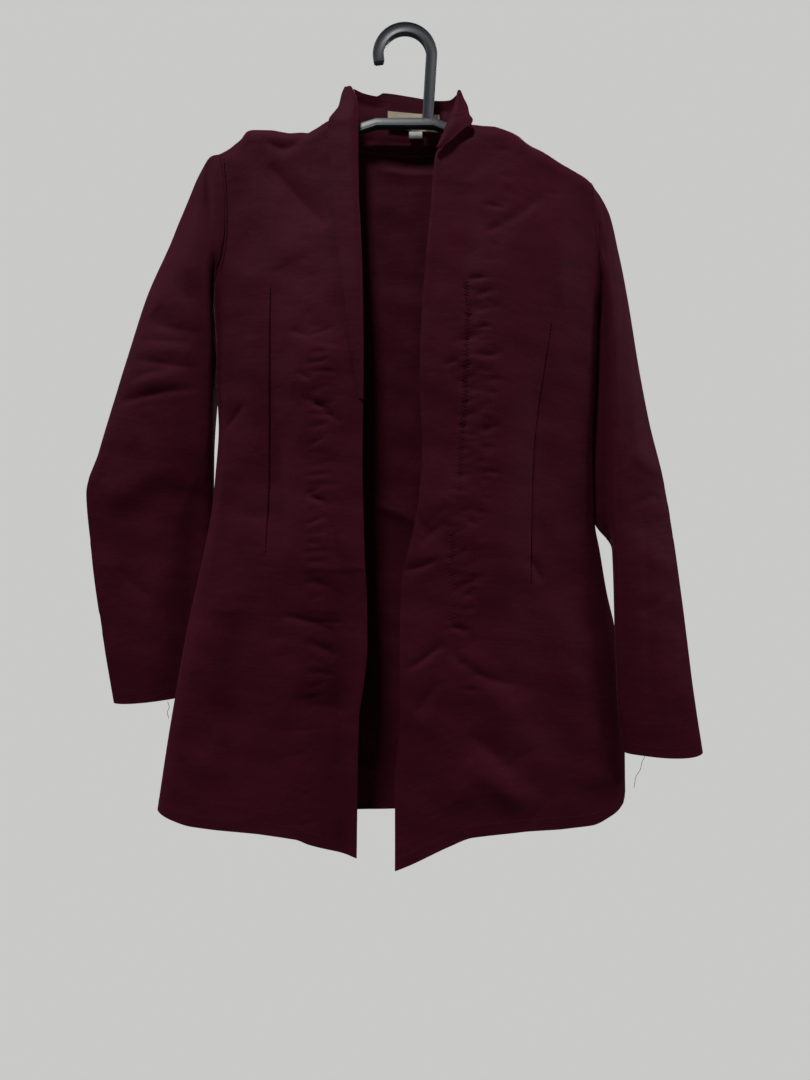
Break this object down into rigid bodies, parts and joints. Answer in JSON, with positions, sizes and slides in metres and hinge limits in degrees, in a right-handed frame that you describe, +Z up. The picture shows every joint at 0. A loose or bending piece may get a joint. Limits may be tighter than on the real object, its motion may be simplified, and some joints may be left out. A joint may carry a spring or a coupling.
{
  "type": "kebaya on a hanger",
  "caption": "Long-sleeved open-front kebaya of smooth dark red cloth with darts, a small stand collar and pointed front hems, hung flat on a plain black hanger.",
  "frame": {"origin": "underside of the hook's top, where a rail or a nail carries the hanger", "axes": "+X to the wearer's left, -Y out of the front, +Z up"},
  "size_m": [0.5976, 0.0768, 0.8018],
  "materials": {
    "cloth": "smooth close weave with a soft sheen",
    "label": "satin woven label, bare",
    "tag": "smooth white tape, bare",
    "plastic": "moulded, satin to glossy"
  },
  "bodies": {
    "root": {"back_panel": "cloth", "front_right": "cloth", "front_left": "cloth", "sleeve_right": "cloth", "sleeve_left": "cloth", "neck_band": "cloth", "lapel_right": "cloth", "lapel_left": "cloth", "neck_label": "label", "size_tag": "tag", "hanger": "plastic"}
  },
  "joints": []
}
